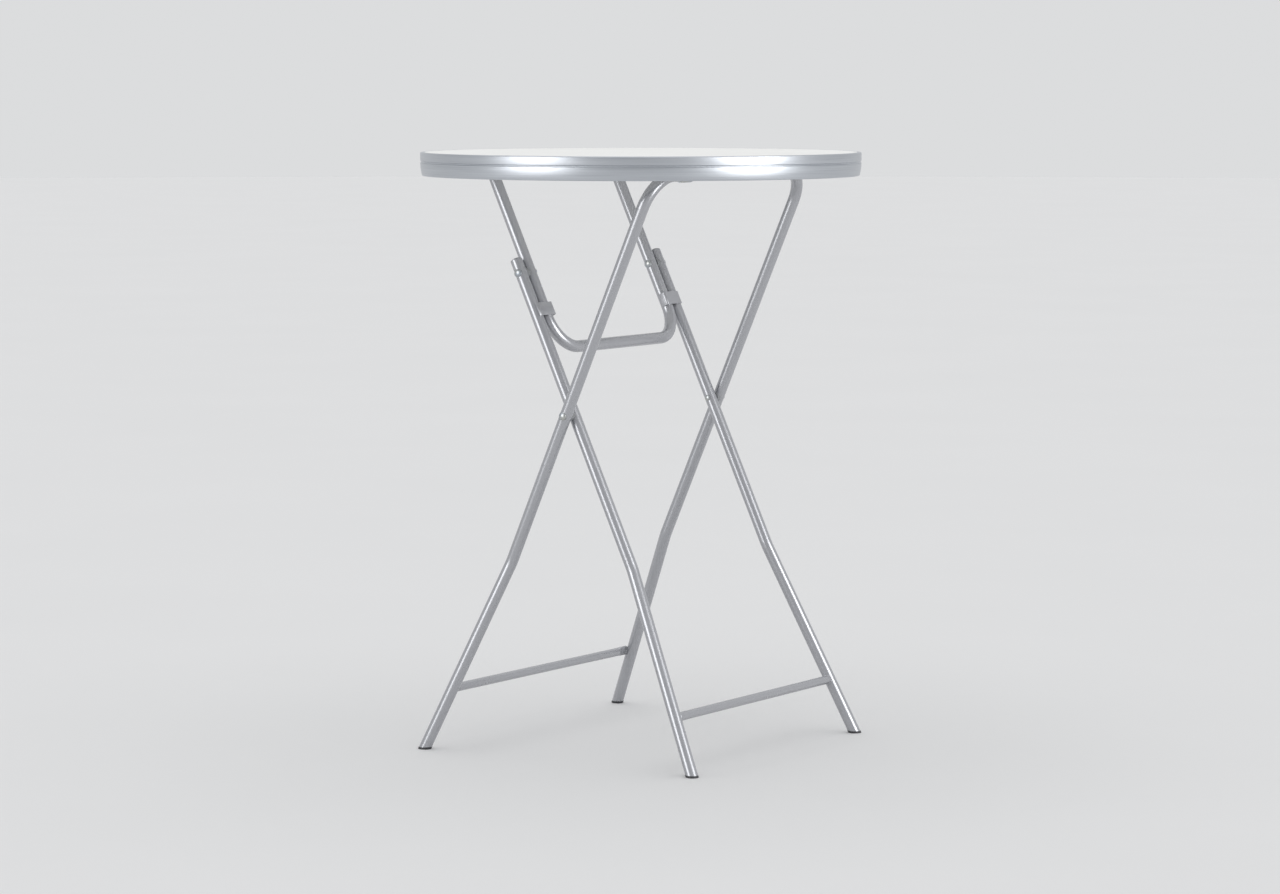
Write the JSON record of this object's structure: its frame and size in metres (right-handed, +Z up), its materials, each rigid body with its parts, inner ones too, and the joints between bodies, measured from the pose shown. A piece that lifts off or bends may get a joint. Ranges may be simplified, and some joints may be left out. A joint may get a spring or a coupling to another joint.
{
  "type": "folding cocktail table",
  "caption": "Round folding cocktail table at bar height: a white top with a metal rim on crossed legs of bent tube, held open by a hinged tube brace.",
  "frame": {"origin": "on the floor, under the middle of the round top", "axes": "+Z up, +X towards the side where the inner legs stand on the floor, Y along every hinge axis"},
  "size_m": [0.813, 0.813, 1.095],
  "materials": {
    "white_laminate": "satin white laminate",
    "satin_aluminium": "satin rolled",
    "silver_paint": "silver-grey powder coat on steel tube",
    "dark_plastic": "moulded",
    "grey_plastic": "moulded",
    "zinc_steel": "bright zinc plate"
  },
  "bodies": {
    "outer_frame": {"outer_leg_tube": "silver_paint", "outer_crossbar": "silver_paint", "outer_foot_left": "dark_plastic", "outer_foot_right": "dark_plastic", "cross_rivet_left": "zinc_steel", "cross_rivet_right": "zinc_steel", "cross_spacer_left": "grey_plastic", "cross_spacer_right": "grey_plastic"},
    "top": {"tabletop_panel": "white_laminate", "edge_rim": "satin_aluminium", "hinge_screws": "zinc_steel", "bracket_screws": "zinc_steel", "hinge_block_left": "dark_plastic", "hinge_block_right": "dark_plastic", "hinge_strap_left": "zinc_steel", "hinge_strap_right": "zinc_steel", "brace_bracket_left": "zinc_steel", "brace_bracket_right": "zinc_steel", "brace_pin_left": "zinc_steel", "brace_pin_right": "zinc_steel"},
    "inner_frame": {"inner_crossbar": "silver_paint", "inner_leg_left": "silver_paint", "inner_leg_right": "silver_paint", "inner_foot_left": "dark_plastic", "inner_foot_right": "dark_plastic", "inner_end_cap_left": "grey_plastic", "inner_end_cap_right": "grey_plastic", "brace_rivet_left": "zinc_steel", "brace_rivet_right": "zinc_steel", "brace_spacer_left": "grey_plastic", "brace_spacer_right": "grey_plastic"},
    "brace": {"brace_tube": "silver_paint", "brace_stop_left": "silver_paint", "brace_stop_right": "silver_paint", "brace_rivet_head_left": "zinc_steel", "brace_rivet_head_right": "zinc_steel"}
  },
  "joints": [
    {"name": "top_fold", "type": "hinge", "parent": "outer_frame", "child": "top", "pos_m": [0.1995, 0, 1.058], "axis": [0, -1, 0], "range_deg": [0, 63.6]},
    {"name": "leg_fold", "type": "hinge", "parent": "outer_frame", "child": "inner_frame", "pos_m": [0.00776, 0, 0.62501], "axis": [0, 1, 0], "range_deg": [0, 47.97]},
    {"name": "brace_fold", "type": "hinge", "parent": "top", "child": "brace", "pos_m": [-0.194, 0, 1.058], "axis": [0, -1, 0], "range_deg": [0, 63.84]}
  ],
  "couplings": [
    {"joint": "leg_fold", "follows": "top_fold", "ratio": 0.75404},
    {"joint": "brace_fold", "follows": "top_fold", "ratio": 1.0036}
  ]
}
